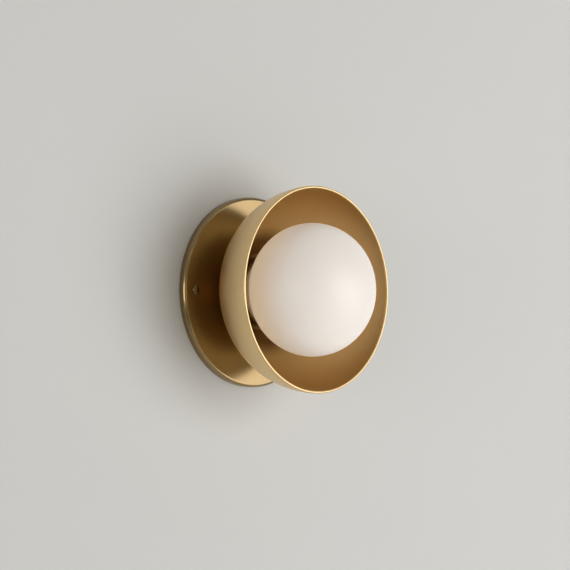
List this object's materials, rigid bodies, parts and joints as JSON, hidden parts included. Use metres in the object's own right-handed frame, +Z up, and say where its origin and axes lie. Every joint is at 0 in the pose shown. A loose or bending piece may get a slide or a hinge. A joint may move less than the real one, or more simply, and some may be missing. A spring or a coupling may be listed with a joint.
{
  "type": "wall sconce",
  "caption": "Round wall plate with a spun brass bowl shade on a short neck, holding a removable opal glass globe over a pin-base bulb.",
  "frame": {"origin": "middle of the wall plate's rear face, where the lamp meets the wall", "axes": "+Y into the wall, -Y out of the wall along the lamp's axis, +Z up, +X to the right as seen from in front"},
  "size_m": [0.127, 0.0922, 0.127],
  "materials": {
    "satin_brass": "satin brushed brass",
    "brass_screws": "turned brass",
    "zinc_steel": "zinc plated",
    "green_steel": "green dyed zinc",
    "nylon": "moulded nylon",
    "silicone": "clear white silicone",
    "opal_glass": "opal, satin",
    "ceramic": "unglazed steatite",
    "contact_metal": "nickel plated",
    "bulb_plastic": "moulded",
    "frosted_cover": "frosted",
    "led_core": "white with yellow light strips"
  },
  "bodies": {
    "fixture": {"mounting_strap": "zinc_steel", "plate_screws": "brass_screws", "ground_screw": "green_steel", "back_plate": "satin_brass", "threaded_nipple": "zinc_steel", "rear_lock_nut": "zinc_steel", "rear_lock_washer": "zinc_steel", "wire_bushing": "nylon", "neck_spacer": "satin_brass", "shade": "satin_brass", "globe_cup": "satin_brass", "top_nut": "zinc_steel", "lampholder_bracket": "zinc_steel", "lampholder_body": "ceramic", "lampholder_contacts": "contact_metal", "lampholder_screws": "zinc_steel"},
    "gasket": {"globe_gasket": "silicone"},
    "globe": {"opal_globe": "opal_glass"},
    "bulb": {"bulb_base": "bulb_plastic", "bulb_envelope": "frosted_cover", "bulb_core": "led_core", "bulb_pins": "contact_metal"}
  },
  "joints": [
    {"name": "globe_unscrew", "type": "hinge", "parent": "fixture", "child": "gasket", "pos_m": [0, -0.0115, 0], "axis": [0, -1, 0], "range_deg": [0, 540]},
    {"name": "globe_lift_off", "type": "slide", "parent": "gasket", "child": "globe", "axis": [0, -1, 0], "range_m": [0, 0.08]},
    {"name": "bulb_pull_out", "type": "slide", "parent": "fixture", "child": "bulb", "axis": [0, -1, 0], "range_m": [0, 0.012]}
  ]
}
